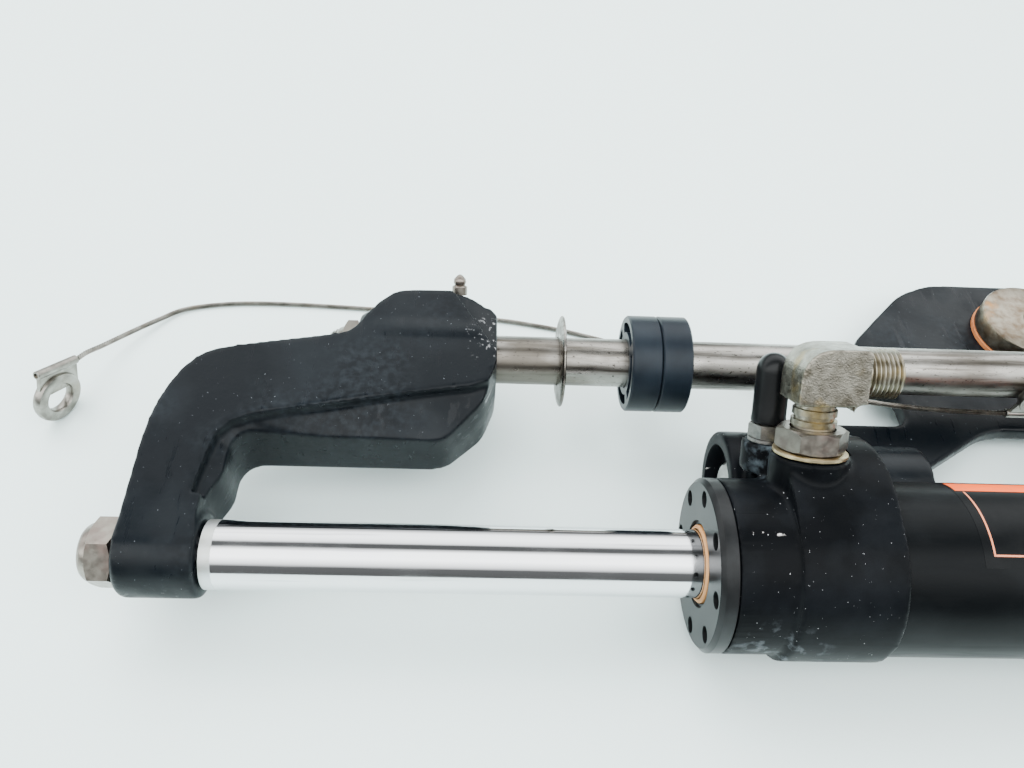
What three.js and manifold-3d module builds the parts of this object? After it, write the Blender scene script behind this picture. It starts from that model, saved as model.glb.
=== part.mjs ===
// Front-mount hydraulic steering cylinder kit for an outboard engine.
// Millimetres, +Z up, X along the piston rod. The origin is under the middle of the kit, on the table.
// Inside the "lay" group the origin is the middle of the piston rod's axis, between the two brackets.
import * as THREE from "three";
import { mergeVertices } from "three/addons/utils/BufferGeometryUtils.js";
import Module from "manifold-3d";

const wasm = await Module();
wasm.setup();

// ---------------------------------------------------------------- driving dimensions
const GAP = 0.3; // between pieces that touch
const STROKE = 199; // full stroke of the cylinder, 7.85 in
const END_ROOM = 3.75; // rod left showing at the end of the stroke

const ROD_R = 9.525; // 3/4 in piston rod
const SUPPORT_R = 7.94; // 5/8 in support rod
const SUPPORT_Y = 71; // support rod axis, behind the piston rod
const SUPPORT_Z = 3.3; // and above it
const ROD_HEIGHT = 27.5; // piston rod axis above the table

const CYLINDER_HALF = 144.5; // gland face to the middle of the cylinder
const FRAME_HALF = CYLINDER_HALF + STROKE / 2 + END_ROOM; // bracket face to the middle of the frame
const CYLINDER_SHIFT = 33.75; // where the cylinder stands along the rod

const BARREL_R = 24.45;
const BORE_R = 17.5;
const BLOCK_R = 26; // end block round the rod axis
const NECK_R = 24.3;
const CROWN = { y: 10, z: -3, r: 31.1 }; // end block's high back
const LOBE = { y: 33.6, z: -12.6, r: 17.8 }; // end block's pivot lobe; its centre is the plate's hinge axis
const PIVOT_R = 8;

const FLANGE_X = 139.8; // inner side of the gland's flange, from the cylinder's middle
const BAND_X = 123.9; // outer side of the block's band
const BLOCK_END_X = 96.1; // inner side of the block
const LOBE_X = 130.6; // outer side of the lobe
const FITTING_X = 116;
const BLEEDER_X = 123.4;
const FITTING_ANGLE = THREE.MathUtils.degToRad(51.5); // of the fittings, up from the table, leaning back
const BLEEDER_BACK = 13.9; // bleeder axis behind the elbow's axis

const BOSS_LENGTH = 22; // bracket boss on the piston rod
const BOSS_R = 12;
const TUBE_BOSS_R = 16.8;
const TUBE_BOSS_IN = FRAME_HALF - 79.5; // inner face of the bracket's boss on the support rod
const TUBE_BOSS_OUT = TUBE_BOSS_IN + 44.4;
const ARM_BOTTOM = -8.5;

const PLATE_TOP = -15;
const PLATE_BOTTOM = -21;
const PLATE_BACK = 133.6;
const TILLER_Y = 106;

// ---------------------------------------------------------------- materials
function finish(color, roughness, metalness) {
  return new THREE.MeshStandardMaterial({ color, roughness, metalness });
}
const blackPaint = finish(0x1b1e22, 0.5, 0.2);
const blackSatin = finish(0x17191c, 0.35, 0.3);
const chrome = finish(0xc9ccd0, 0.12, 1);
const steel = finish(0x9a968f, 0.4, 0.9);
const zinc = finish(0xb3ab94, 0.45, 0.8);
const goldZinc = finish(0xc2a86a, 0.35, 0.9);
const rubber = finish(0x101214, 0.7, 0);
const nylon = finish(0x20262e, 0.55, 0);
const urethane = finish(0xb8702f, 0.6, 0);
const orangeBush = finish(0xb4633a, 0.6, 0.1);
const castIron = finish(0x4b4b4d, 0.6, 0.7);

// ---------------------------------------------------------------- solids
function signedVolume(positions, triangles) {
  const [a, b, c] = [new THREE.Vector3(), new THREE.Vector3(), new THREE.Vector3()];
  let volume = 0;
  for (let i = 0; i < triangles.length; i += 3) {
    a.fromArray(positions, triangles[i] * 3);
    b.fromArray(positions, triangles[i + 1] * 3);
    c.fromArray(positions, triangles[i + 2] * 3);
    volume += a.dot(b.cross(c)) / 6;
  }
  return volume;
}

// A closed geometry as a manifold solid.
function solid(source) {
  const bare = source.clone();
  for (const name of Object.keys(bare.attributes)) {
    if (name !== "position") bare.deleteAttribute(name);
  }
  const merged = mergeVertices(bare, 1e-4);
  const triangles = [];
  for (let i = 0; i < merged.index.count; i += 3) {
    const [a, b, c] = [0, 1, 2].map((k) => merged.index.getX(i + k));
    if (a !== b && b !== c && c !== a) triangles.push(a, b, c);
  }
  const positions = merged.attributes.position.array;
  if (signedVolume(positions, triangles) < 0) triangles.reverse();
  const mesh = new wasm.Mesh({
    numProp: 3,
    vertProperties: new Float32Array(positions),
    triVerts: new Uint32Array(triangles),
  });
  return new wasm.Manifold(mesh);
}

function geometryOf(body) {
  const mesh = body.getMesh();
  const result = new THREE.BufferGeometry();
  result.setAttribute("position", new THREE.BufferAttribute(new Float32Array(mesh.vertProperties), 3));
  result.setIndex(new THREE.BufferAttribute(new Uint32Array(mesh.triVerts), 1));
  result.computeVertexNormals();
  return result;
}

// Round bar along X.
function bar(x0, x1, r, y = 0, z = 0, sides = 16) {
  const shape = new THREE.CylinderGeometry(r, r, Math.abs(x1 - x0), sides);
  shape.rotateZ(Math.PI / 2);
  shape.translate((x0 + x1) / 2, y, z);
  return solid(shape);
}

// Round bar along Z.
function post(z0, z1, r, x = 0, y = 0, sides = 16) {
  const shape = new THREE.CylinderGeometry(r, r, Math.abs(z1 - z0), sides);
  shape.rotateX(Math.PI / 2);
  shape.translate(x, y, (z0 + z1) / 2);
  return solid(shape);
}

function block(x0, x1, y0, y1, z0, z1) {
  const shape = new THREE.BoxGeometry(x1 - x0, y1 - y0, z1 - z0);
  shape.translate((x0 + x1) / 2, (y0 + y1) / 2, (z0 + z1) / 2);
  return solid(shape);
}

// Turned about X: profile is a list of [x, r] from axis to axis, or closed on itself.
function turned(profile, sides = 16) {
  const points = profile.map(([x, r]) => new THREE.Vector2(r, x));
  const shape = new THREE.LatheGeometry(points, sides);
  shape.rotateZ(-Math.PI / 2);
  return solid(shape);
}

// Hexagon prism along Z, by its width across flats.
function hexPost(z0, z1, flats, x = 0, y = 0) {
  return post(z0, z1, flats / Math.sqrt(3), x, y, 6);
}

// Outline in (x, y) raised along Z.
function prismZ(shape, z0, z1) {
  const raised = new THREE.ExtrudeGeometry(shape, { depth: z1 - z0, bevelEnabled: false, curveSegments: 3 });
  raised.translate(0, 0, z0);
  return solid(raised);
}

// Outline given as (y, z), drawn out along X.
function prismX(shape, x0, x1) {
  const drawn = new THREE.ExtrudeGeometry(shape, { depth: x1 - x0, bevelEnabled: false, curveSegments: 3 });
  drawn.rotateX(Math.PI / 2);
  drawn.rotateZ(Math.PI / 2);
  drawn.translate(x0, 0, 0);
  return solid(drawn);
}

// Closed outline through corners [x, y, r], each rounded over the length r of its sides.
function outline(corners) {
  const shape = new THREE.Shape();
  corners.forEach(([x, y, r = 0], i) => {
    const here = new THREE.Vector2(x, y);
    const before = new THREE.Vector2(...corners[(i + corners.length - 1) % corners.length]);
    const after = new THREE.Vector2(...corners[(i + 1) % corners.length]);
    const start = here.clone().add(before.sub(here).setLength(r || 1e-6));
    const end = here.clone().add(after.sub(here).setLength(r || 1e-6));
    if (i === 0) shape.moveTo(start.x, start.y);
    else shape.lineTo(start.x, start.y);
    if (r) shape.quadraticCurveTo(x, y, end.x, end.y);
  });
  shape.closePath();
  return shape;
}

// Outline round a set of circles, as a belt would lie.
function belt(circles, steps = 36) {
  const points = [];
  for (let i = 0; i < steps; i += 1) {
    const angle = (i / steps) * 2 * Math.PI;
    const [c, s] = [Math.cos(angle), Math.sin(angle)];
    const reach = circles.map((k) => k.y * c + k.z * s + k.r);
    const k = circles[reach.indexOf(Math.max(...reach))];
    points.push(new THREE.Vector2(k.y + k.r * c, k.z + k.r * s));
  }
  return new THREE.Shape(points);
}

// Mirror image in the plane X = 0.
function mirrored(geometry) {
  const copy = geometry.clone();
  copy.scale(-1, 1, 1);
  const index = copy.index.array;
  for (let i = 0; i < index.length; i += 3) {
    [index[i], index[i + 1]] = [index[i + 1], index[i]];
  }
  copy.computeVertexNormals();
  return copy;
}

// ---------------------------------------------------------------- scene helpers
function group(parent, x = 0, y = 0, z = 0) {
  const made = new THREE.Group();
  made.position.set(x, y, z);
  parent.add(made);
  return made;
}

function add(parent, name, body, material) {
  const mesh = new THREE.Mesh(geometryOf(body), material.clone());
  mesh.name = name;
  parent.add(mesh);
  return mesh;
}

// The same piece at both ends: made for the left end, mirrored for the right one.
function addPair(parent, name, body, material) {
  const left = add(parent, `${name}_left`, body, material);
  const right = new THREE.Mesh(mirrored(left.geometry), material.clone());
  right.name = `${name}_right`;
  parent.add(right);
}

// ---------------------------------------------------------------- rod frame
const STUD_R = 6.35;
const STUD_OUT = FRAME_HALF + BOSS_LENGTH + 9.2;

function pistonRod() {
  const shoulder = FRAME_HALF - GAP;
  return turned([
    [-STUD_OUT, 0], [-STUD_OUT, STUD_R - 1], [-STUD_OUT + 1, STUD_R], [-shoulder, STUD_R],
    [-shoulder, ROD_R - 0.6], [-shoulder + 0.6, ROD_R],
    [shoulder - 0.6, ROD_R], [shoulder, ROD_R - 0.6],
    [shoulder, STUD_R], [STUD_OUT - 1, STUD_R], [STUD_OUT, STUD_R - 1], [STUD_OUT, 0],
  ]);
}

const PISTON_HALF = 12;
function piston() {
  const inner = ROD_R + GAP;
  const outer = BORE_R - GAP;
  const groove = outer - 3;
  return turned([
    [-PISTON_HALF, inner], [-PISTON_HALF, outer], [-3.2, outer], [-3.2, groove],
    [3.2, groove], [3.2, outer], [PISTON_HALF, outer], [PISTON_HALF, inner], [-PISTON_HALF, inner],
  ]);
}

function ring(x0, x1, inner, outer, sides = 16) {
  return turned([[x0, inner], [x0, outer], [x1, outer], [x1, inner], [x0, inner]], sides);
}

// Plan of the left bracket: leg on the rod, arm, and the head that holds the support rod.
function bracketPlan() {
  const out = -(FRAME_HALF + BOSS_LENGTH);
  const head = -TUBE_BOSS_IN;
  return outline([
    [out, -2], [-FRAME_HALF - 1, -2], [-FRAME_HALF - 1, 14],
    [-FRAME_HALF + 2, 20], [-FRAME_HALF + 2, 34.5, 9], [-184, 34.5, 3],
    [head - 4, 46, 3], [head, 58], [head, 79, 4], [head - 7, 86, 4],
    [-201, 85, 5], [-208, 77, 4], [-214, 67.5, 3], [-259, 59.5, 10], [out, 41, 11],
  ]);
}

// The bracket's section across X: flat underside, face that rises gently to the back, upright back.
function bracketSection() {
  const rise = (y) => BOSS_R + 0.113 * y;
  return outline([
    [-14, ARM_BOTTOM], [90, ARM_BOTTOM], [90, 0], [87, rise(84), 3], [0, rise(0)], [-14, rise(0) - 2],
  ]);
}

function bracket() {
  const inner = -TUBE_BOSS_IN;
  const outer = -TUBE_BOSS_OUT;
  const leg = -(FRAME_HALF + BOSS_LENGTH);
  const upright = prismZ(bracketPlan(), ARM_BOTTOM - 5, 30);
  const arm = upright.intersect(prismX(bracketSection(), leg - 5, inner + 5));
  const rodBoss = bar(leg, -FRAME_HALF, BOSS_R);
  const tubeBoss = bar(outer, inner, TUBE_BOSS_R, SUPPORT_Y, SUPPORT_Z);
  const shelf = prismX(outline([[-20, -1.8], [0.9, 7.2], [0.9, 20], [-20, 20]]), -36, 34);
  const shelfGeometry = geometryOf(shelf);
  shelfGeometry.rotateZ(THREE.MathUtils.degToRad(10.3));
  shelfGeometry.translate(-209, 43.5, 6.3);
  return arm
    .subtract(solid(shelfGeometry))
    .add(rodBoss)
    .add(tubeBoss)
    .subtract(bar(leg - 1, -FRAME_HALF + 1, STUD_R + GAP))
    .subtract(bar(outer - 20, inner + 1, SUPPORT_R + GAP, SUPPORT_Y, SUPPORT_Z))
    .subtract(bar(outer - 14, outer, 12.6, SUPPORT_Y, SUPPORT_Z));
}

// Lock nut with its rounded collar, outer end at x0.
function lockNut(x0, x1, flats, hole) {
  const collar = turned([
    [x0, 0], [x0, flats * 0.36], [x0 + 1.6, flats * 0.46], [x0 + 3, flats * 0.48],
    [x0 + 4, flats * 0.48], [x0 + 4, 0],
  ]);
  const hex = new THREE.CylinderGeometry(flats / Math.sqrt(3), flats / Math.sqrt(3), x1 - x0 - 3, 6);
  hex.rotateZ(Math.PI / 2);
  hex.translate((x0 + 3 + x1) / 2, 0, 0);
  return solid(hex).add(collar).subtract(bar(x0 - 1, x1 + 1, hole, 0, 0, 24));
}

function addRodFrame(lay) {
  add(lay, "piston_rod", pistonRod(), chrome);
  add(lay, "piston", piston(), steel);
  add(lay, "piston_seal", ring(-2.9, 2.9, BORE_R - 3, BORE_R - 0.25), rubber);
  addPair(lay, "bracket", bracket(), blackPaint);
  const nutFace = -(FRAME_HALF + BOSS_LENGTH + GAP);
  addPair(lay, "rod_nut", lockNut(nutFace - 10, nutFace, 17.5, STUD_R + GAP), zinc);
  addPair(lay, "grease_fitting", greaseFitting(), zinc);

  const support = group(lay, 0, SUPPORT_Y, SUPPORT_Z);
  const supportHalf = TUBE_BOSS_OUT + 10;
  add(support, "support_rod", turned([
    [-supportHalf, 0], [-supportHalf, SUPPORT_R - 1], [-supportHalf + 1, SUPPORT_R],
    [supportHalf - 1, SUPPORT_R], [supportHalf, SUPPORT_R - 1], [supportHalf, 0],
  ]), steel);
  const nutIn = -TUBE_BOSS_OUT - GAP;
  addPair(support, "support_nut", lockNut(nutIn - 8, nutIn, 20, SUPPORT_R + GAP), zinc);
  addLooseRings(support);
}

function greaseFitting() {
  const nipple = new THREE.LatheGeometry([
    [0, 0], [2.6, 0], [2.6, 3.2], [1.6, 3.8], [2.2, 4.8], [1.8, 6], [0.8, 6.6], [0, 6.7],
  ].map(([r, h]) => new THREE.Vector2(r, h)), 8);
  nipple.rotateX(Math.PI / 2 - THREE.MathUtils.degToRad(35));
  nipple.translate(-181, 88.25, 15.8);
  return solid(nipple);
}

const WASHER_X = 147.3;
const SPACER_OUT = 125.5;
const SPACER_WIDTH = 9.5;
const SPACER_R = 15.9;

function addLooseRings(support) {
  const hole = SUPPORT_R + GAP;
  addPair(support, "tube_washer", turned([
    [-WASHER_X - 0.8, hole], [-WASHER_X - 0.8, 13.4], [-WASHER_X + 0.2, 15.1], [-WASHER_X + 1, 15.1],
    [-WASHER_X + 0.6, 12.8], [-WASHER_X + 0.6, hole], [-WASHER_X - 0.8, hole],
  ]), steel);
  const spacer = (x0) => turned([
    [x0, hole], [x0, 10.4], [x0 + 2.5, 10.8], [x0 + 2.5, 13.2], [x0, 13.6], [x0, SPACER_R],
    [x0 + SPACER_WIDTH, SPACER_R], [x0 + SPACER_WIDTH, hole], [x0, hole],
  ]);
  [["outer", -SPACER_OUT], ["inner", -SPACER_OUT + SPACER_WIDTH + GAP]].forEach(([place, x]) => {
    const left = add(support, `spacer_left_${place}`, spacer(x), nylon);
    const right = new THREE.Mesh(mirrored(left.geometry), nylon.clone());
    right.name = `spacer_right_${place}`;
    support.add(right);
  });
}

// ---------------------------------------------------------------- cylinder
const along = { y: Math.cos(FITTING_ANGLE), z: Math.sin(FITTING_ANGLE) };
const back = { y: along.z, z: -along.y };
const SEAT = 33; // height of the elbow's seat above the rod axis, along the fitting
const BLEEDER_SEAT = 32.6;

// A solid made upright on Z, stood on the fitting axis, offset backwards by `behind`.
function onFitting(body, x, behind = 0) {
  const shape = geometryOf(body);
  shape.rotateX(FITTING_ANGLE - Math.PI / 2);
  shape.translate(x, back.y * behind, back.z * behind);
  return solid(shape);
}

function endBlock() {
  const band = prismX(belt([{ y: 0, z: 0, r: BLOCK_R }, CROWN, LOBE]), -BAND_X, -BLOCK_END_X);
  const neck = turned([
    [-FLANGE_X + GAP, 0], [-FLANGE_X + GAP, NECK_R], [-BAND_X - 3, NECK_R], [-BAND_X + 1, NECK_R + 1.7],
    [-BAND_X + 4, NECK_R + 1.7], [-BAND_X + 4, 0],
  ]);
  const lobe = bar(-LOBE_X, -BAND_X + 2, LOBE.r, LOBE.y, LOBE.z);
  const webOutline = belt([{ y: 14, z: -2, r: 15 }, { y: LOBE.y - 4, z: LOBE.z, r: 13.5 }]);
  const web = prismX(webOutline, -LOBE_X + 4, -BAND_X + 2);
  const floor = block(-150, -80, -60, 90, -60, -ROD_HEIGHT);
  return band.add(neck).add(lobe).add(web)
    .add(onFitting(post(20, SEAT, 10.6), -FITTING_X))
    .add(onFitting(post(24, BLEEDER_SEAT, 6.9), -BLEEDER_X, BLEEDER_BACK))
    .subtract(floor)
    .subtract(bar(-BLOCK_END_X + 1, -108, BARREL_R + GAP, 0, 0, 24))
    .subtract(bar(-100, -121, BORE_R, 0, 0, 24))
    .subtract(bar(-120, -140, 20 + GAP, 0, 0, 24))
    .subtract(bar(-LOBE_X - 1, -LOBE_X + 5, 13.3, LOBE.y, LOBE.z))
    .subtract(bar(-LOBE_X, -BLOCK_END_X + 1, PIVOT_R + GAP, LOBE.y, LOBE.z))
    .subtract(onFitting(post(SEAT, 60, 11.4), -FITTING_X))
    .subtract(onFitting(post(25, 60, 6 + GAP), -FITTING_X))
    .subtract(onFitting(post(10, 30, 3, 0, 0, 16), -FITTING_X))
    .subtract(onFitting(post(BLEEDER_SEAT, 60, 7.2), -BLEEDER_X, BLEEDER_BACK))
    .subtract(onFitting(post(26, 60, 3 + GAP, 0, 0, 16), -BLEEDER_X, BLEEDER_BACK));
}

const GLAND_HOLES = 8;
function gland() {
  const hole = ROD_R + 0.325;
  const face = -CYLINDER_HALF;
  let body = turned([
    [face, 12.4], [face, NECK_R - 1.2], [face + 1.1, NECK_R - 0.1], [-FLANGE_X, NECK_R - 0.1],
    [-FLANGE_X, 20], [-121.5, 20], [-121.5, hole], [-124, hole], [-124, 12.8], [-129, 12.8], [-129, hole],
    [-137, hole], [-137, 11.2], [face + 1.5, 11.2], [face + 1.5, 12.4], [face, 12.4],
  ], 24);
  for (let i = 0; i < GLAND_HOLES; i += 1) {
    const angle = THREE.MathUtils.degToRad(35 + (i * 360) / GLAND_HOLES);
    const [y, z] = [-19.7 * Math.cos(angle), 19.7 * Math.sin(angle)];
    body = body.subtract(bar(face - 1, face + 3, 2.35, y, z, 6));
  }
  return body;
}

const THREAD_R = 6.9;
function elbow() {
  const reach = SEAT + 15.2;
  const middle = reach + 8;
  const side = 7.6;
  const stem = post(26, reach + 1, 5.7);
  const upright = block(-side, side, -side, side, reach, middle + side);
  const level = block(-side, 11, -side, side, middle - side + 0.4, middle + side);
  const thread = bar(10, 20.8, THREAD_R, 0, middle);
  const passage = bar(2, 30, 4.4, 0, middle, 12);
  const round = new THREE.CylinderGeometry(9, 9, 4 * side + 1, 16);
  const corner = block(-2 * side, 0, -2 * side, 2 * side, 0, 9).subtract(solid(round));
  const cornerShape = geometryOf(corner).translate(9 - side, 0, middle + side - 9);
  return stem.add(upright).add(level).subtract(solid(cornerShape)).add(thread).subtract(passage);
}

function bleederScrew() {
  const foot = BLEEDER_SEAT + GAP;
  return post(foot - 5, foot + 5, 3, 0, 0, 16)
    .add(post(foot, foot + 1, 5.3))
    .add(hexPost(foot + 1, foot + 5.2, 9.5))
    .add(post(foot + 5, foot + 16, 2.6, 0, 0, 16));
}

function bleederCap() {
  const foot = BLEEDER_SEAT + GAP + 5.2 + GAP;
  const profile = [
    [2.9, 0], [4.8, 0], [5, 1], [4.8, 15], [4.4, 17.6], [3.3, 19.3], [1.7, 20.2], [0, 20.4],
    [0, 14], [2.9, 14], [2.9, 0],
  ].map(([r, h]) => new THREE.Vector2(r, h + foot));
  const shape = new THREE.LatheGeometry(profile, 12);
  shape.rotateX(Math.PI / 2);
  return solid(shape);
}

function addCylinder(lay) {
  const cylinder = group(lay, CYLINDER_SHIFT);
  add(cylinder, "barrel", ring(-107.7, 107.7, BORE_R, BARREL_R, 28), blackSatin);
  addPair(cylinder, "end_block", endBlock(), blackPaint);
  addPair(cylinder, "gland", gland(), blackSatin);
  const face = -CYLINDER_HALF;
  addPair(cylinder, "wiper", ring(face - 0.3, -137.3, ROD_R + GAP, 10.9), urethane);
  addPair(cylinder, "rod_seal", ring(-128.7, -124.3, ROD_R + GAP, 12.5), rubber);
  addPair(cylinder, "pivot_pin", bar(-LOBE_X + 2.4, -72, PIVOT_R, LOBE.y, LOBE.z, 24), zinc);
  addPair(cylinder, "elbow_washer", onFitting(
    post(SEAT + GAP, SEAT + 1.5, 10).subtract(post(SEAT, SEAT + 2, 6.2)), -FITTING_X), goldZinc);
  addPair(cylinder, "elbow_nut", onFitting(
    hexPost(SEAT + 1.8, SEAT + 7.9, 17).subtract(post(SEAT, SEAT + 12, 6.2)), -FITTING_X), goldZinc);
  addPair(cylinder, "elbow", onFitting(elbow(), -FITTING_X), zinc);
  addPair(cylinder, "bleeder_screw", onFitting(bleederScrew(), -BLEEDER_X, BLEEDER_BACK), zinc);
  addPair(cylinder, "bleeder_cap", onFitting(bleederCap(), -BLEEDER_X, BLEEDER_BACK), rubber);
  addPlate(cylinder);
}

// ---------------------------------------------------------------- pivot plate
const EAR_OUT = BLOCK_END_X - GAP;
const EAR_IN = 65.7;
const EAR_R = 14.2;

function platePlan() {
  const half = [
    [0, PLATE_BACK], [-27, PLATE_BACK, 6], [-41, 127, 5], [-66, 101, 4], [-66, 77, 2], [-57, 77, 7],
    [-57, 62, 7], [-EAR_OUT, 62, 8], [-EAR_OUT, LOBE.y], [-EAR_IN, LOBE.y], [-EAR_IN, 38, 2],
    [-31, 59.5, 5], [-24, 61, 3], [0, 61],
  ];
  const other = half.slice(1, -1).map(([x, y, r]) => [-x, y, r]).reverse();
  return outline([...half, ...other]);
}

function pivotPlate() {
  const ear = (x0, x1) => bar(x0, x1, EAR_R, LOBE.y, LOBE.z);
  return prismZ(platePlan(), PLATE_BOTTOM, PLATE_TOP)
    .add(ear(-EAR_OUT, -EAR_IN))
    .add(ear(EAR_IN, EAR_OUT))
    .subtract(bar(-110, 110, BARREL_R + 1.55, 0, 0, 24))
    .subtract(bar(-110, 110, PIVOT_R + GAP, LOBE.y, LOBE.z, 24))
    .subtract(post(PLATE_BOTTOM - 1, PLATE_TOP + 1, 11.3, 0, TILLER_Y));
}

function tillerBushing() {
  const top = PLATE_TOP + GAP;
  return post(PLATE_BOTTOM, top + 1.5, 11, 0, TILLER_Y)
    .add(post(top, top + 1.5, 18, 0, TILLER_Y, 24))
    .subtract(post(PLATE_BOTTOM - 1, top + 3, 9.9, 0, TILLER_Y));
}

const HEAD_BOTTOM = PLATE_TOP + 2.1;
const HEAD_TOP = HEAD_BOTTOM + 7.9;
function tillerPin() {
  return post(-ROD_HEIGHT + 0.4, HEAD_BOTTOM + 1, 9.5, 0, TILLER_Y)
    .add(post(HEAD_BOTTOM, HEAD_TOP - 0.8, 17.5, 0, TILLER_Y, 24))
    .add(post(HEAD_TOP - 1, HEAD_TOP, 16.8, 0, TILLER_Y, 24))
    .subtract(post(HEAD_TOP - 1.6, HEAD_TOP + 1, 3.4, 0, TILLER_Y, 16));
}

function tillerNut() {
  return hexPost(-ROD_HEIGHT, PLATE_BOTTOM - GAP, 27, 0, TILLER_Y)
    .subtract(post(-40, 0, 9.8, 0, TILLER_Y));
}

// ---------------------------------------------------------------- lanyard
const ROPE_R = 0.95;

// The rope's route: from the terminal that leans on the support rod, under that rod, down to the table,
// along it and up to the left terminal. Measured from the table and the middle of the frame.
const ROPE_ROUTE = [
  [5.7, 61.3, 21.9], [-4, 61.7, 21.5], [-13, 63.0, 20.2], [-24, 66.0, 17.6],
  [-36, 70.5, 14.2], [-50, 76.5, 10.8], [-66, 84.0, 7.8], [-84, 92.0, 4.0], [-102, 99.5, 1.6],
  [-120, 106, 1.0], [-140, 112, 1.0], [-154, 115, 1.0],
  [-167, 117, 1.0], [-196, 119.5, 1.0], [-225, 121.2, 1.0], [-252.9, 122, 1.0], [-272.1, 121.1, 1.0],
  [-287.8, 117.5, 1.2], [-296.1, 110.8, 2.2], [-304, 101.2, 4.7], [-309.4, 90.9, 8.9],
  [-311.5, 84.3, 12.7], [-312.2, 79.0, 15.4],
];

function rope() {
  const points = ROPE_ROUTE.map(([x, y, z]) => new THREE.Vector3(x, y, z - ROD_HEIGHT));
  const path = new THREE.CatmullRomCurve3(points, false, "centripetal");
  const section = new THREE.Shape(Array.from({ length: 6 }, (unused, i) => {
    const angle = ((i + 0.5) * Math.PI) / 3;
    return new THREE.Vector2(ROPE_R * Math.cos(angle), ROPE_R * Math.sin(angle));
  }));
  return solid(new THREE.ExtrudeGeometry(section, { steps: 44, extrudePath: path, bevelEnabled: false }));
}

// Eye terminal: a grommet in a folded tab, with the tab's top edge rolled into a sleeve for the rope.
// Made flat on the XY plane, the sleeve along X on the +Y side.
const EYE_R = 8.9;
const SLEEVE_Y = 11.2;
function terminal() {
  const eye = new THREE.LatheGeometry([
    [4.9, -1.2], [5.6, -1.9], [8.2, -1.9], [EYE_R, -1.2], [EYE_R, 1.2], [8.2, 1.9], [5.6, 1.9], [4.9, 1.2],
    [4.9, -1.2],
  ].map(([r, h]) => new THREE.Vector2(r, h)), 14);
  eye.rotateX(Math.PI / 2);
  const tab = prismZ(outline([[-7.6, SLEEVE_Y], [-7.6, 5], [8.2, 0], [7.6, SLEEVE_Y]]), -0.7, 0.7);
  return solid(eye)
    .add(tab.subtract(post(-3, 3, 6)))
    .add(bar(-8.2, 8.2, 1.5, SLEEVE_Y, 0, 16));
}

function placed(body, turn, x, y, z) {
  const shape = geometryOf(body);
  shape.applyMatrix4(new THREE.Matrix4().makeRotationFromEuler(turn));
  shape.translate(x, y, z);
  return solid(shape);
}

const LEFT_TURN = new THREE.Euler(1.58, 0.437, 1.158, "ZYX");
const RIGHT_TURN = new THREE.Euler(-1.45, 0, 0);
function addLanyard(lay) {
  add(lay, "lanyard_cable", rope(), steel);
  const flat = terminal();
  add(lay, "lanyard_terminal_left", placed(flat, LEFT_TURN, -317.4, 67.5, 9 - ROD_HEIGHT), steel);
  add(lay, "lanyard_terminal_right", placed(flat, RIGHT_TURN, 14.2, 60, 33 - ROD_HEIGHT), steel);
}

// ---------------------------------------------------------------- assembly
function addPlate(cylinder) {
  add(cylinder, "pivot_plate", pivotPlate(), blackPaint);
  add(cylinder, "tiller_bushing", tillerBushing(), orangeBush);
  add(cylinder, "tiller_pin", tillerPin(), castIron);
  add(cylinder, "tiller_nut", tillerNut(), zinc);
}

const kit = new THREE.Group();
const lay = group(kit, 0, (BLOCK_R - PLATE_BACK) / 2, ROD_HEIGHT);
addRodFrame(lay);
addCylinder(lay);
addLanyard(lay);

export default kit;
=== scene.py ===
"""Visual model of the hydraulic steering cylinder kit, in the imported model's frame.

Lengths are written in millimetres and turned into metres where meshes are made. Sizes along the rod are
measured from the middle of the frame, heights and depths from the piston rod's axis ("rod axis" below).
"""
import math
import bpy
import bmesh
from mathutils import Matrix, Vector


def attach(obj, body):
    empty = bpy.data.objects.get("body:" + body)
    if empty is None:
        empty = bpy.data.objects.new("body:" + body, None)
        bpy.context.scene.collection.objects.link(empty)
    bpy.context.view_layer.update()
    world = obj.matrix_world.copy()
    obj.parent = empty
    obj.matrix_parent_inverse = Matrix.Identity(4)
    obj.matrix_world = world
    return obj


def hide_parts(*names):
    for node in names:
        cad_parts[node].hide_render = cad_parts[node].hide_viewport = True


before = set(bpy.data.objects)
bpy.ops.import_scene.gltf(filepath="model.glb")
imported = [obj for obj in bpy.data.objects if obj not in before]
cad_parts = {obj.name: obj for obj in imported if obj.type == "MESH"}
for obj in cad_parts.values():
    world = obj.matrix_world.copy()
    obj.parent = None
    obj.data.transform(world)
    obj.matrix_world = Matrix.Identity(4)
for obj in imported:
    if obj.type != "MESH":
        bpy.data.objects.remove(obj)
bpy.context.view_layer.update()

# ------------------------------------------------------------------ driving sizes, mm
GAP = 0.3  # clearance between neighbouring pieces
ROD_AXIS = Vector((0, -53.8, 27.5))
CYLINDER_SHIFT = 33.75
ROD_R = 9.525
FRAME_HALF = 247.75
BOSS_OUT = 269.75
BOSS_R = 12
STUD_R = 6.35
SUPPORT = (71, 3.3)
SUPPORT_R = 7.94
WASHER_X = -147.3
SPACER_X = (("outer", -125.5), ("inner", -115.7))
GREASE_PLACE = (-181, 88.25, 15.8)
GREASE_LEAN = math.radians(35)
TUBE_BOSS_IN = 168.25
TUBE_BOSS_OUT = 212.65
TUBE_BOSS_R = 16.8
BARREL_R = 24.45
BARREL_HALF = 107.7
BLOCK_R = 26
BLOCK_OUT_X = 123.9
BLOCK_IN_X = 96.1
CROWN = (10, -3, 31.1)
NECK_R = 24.3
LOBE = (33.6, -12.6)
LOBE_R = 17.8
LOBE_X = 130.6
PIN_R = 8
FITTING_ANGLE = math.radians(51.5)
FITTING_X = 116
SEAT = 33
BLEEDER_X = 123.4
BLEEDER_BACK = 13.9
BLEEDER_SEAT = 32.6
PLATE_TOP = -15
PLATE_BOTTOM = -21
PLATE_BACK = 133.6
PLATE_EDGE_X = 95.8
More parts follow.
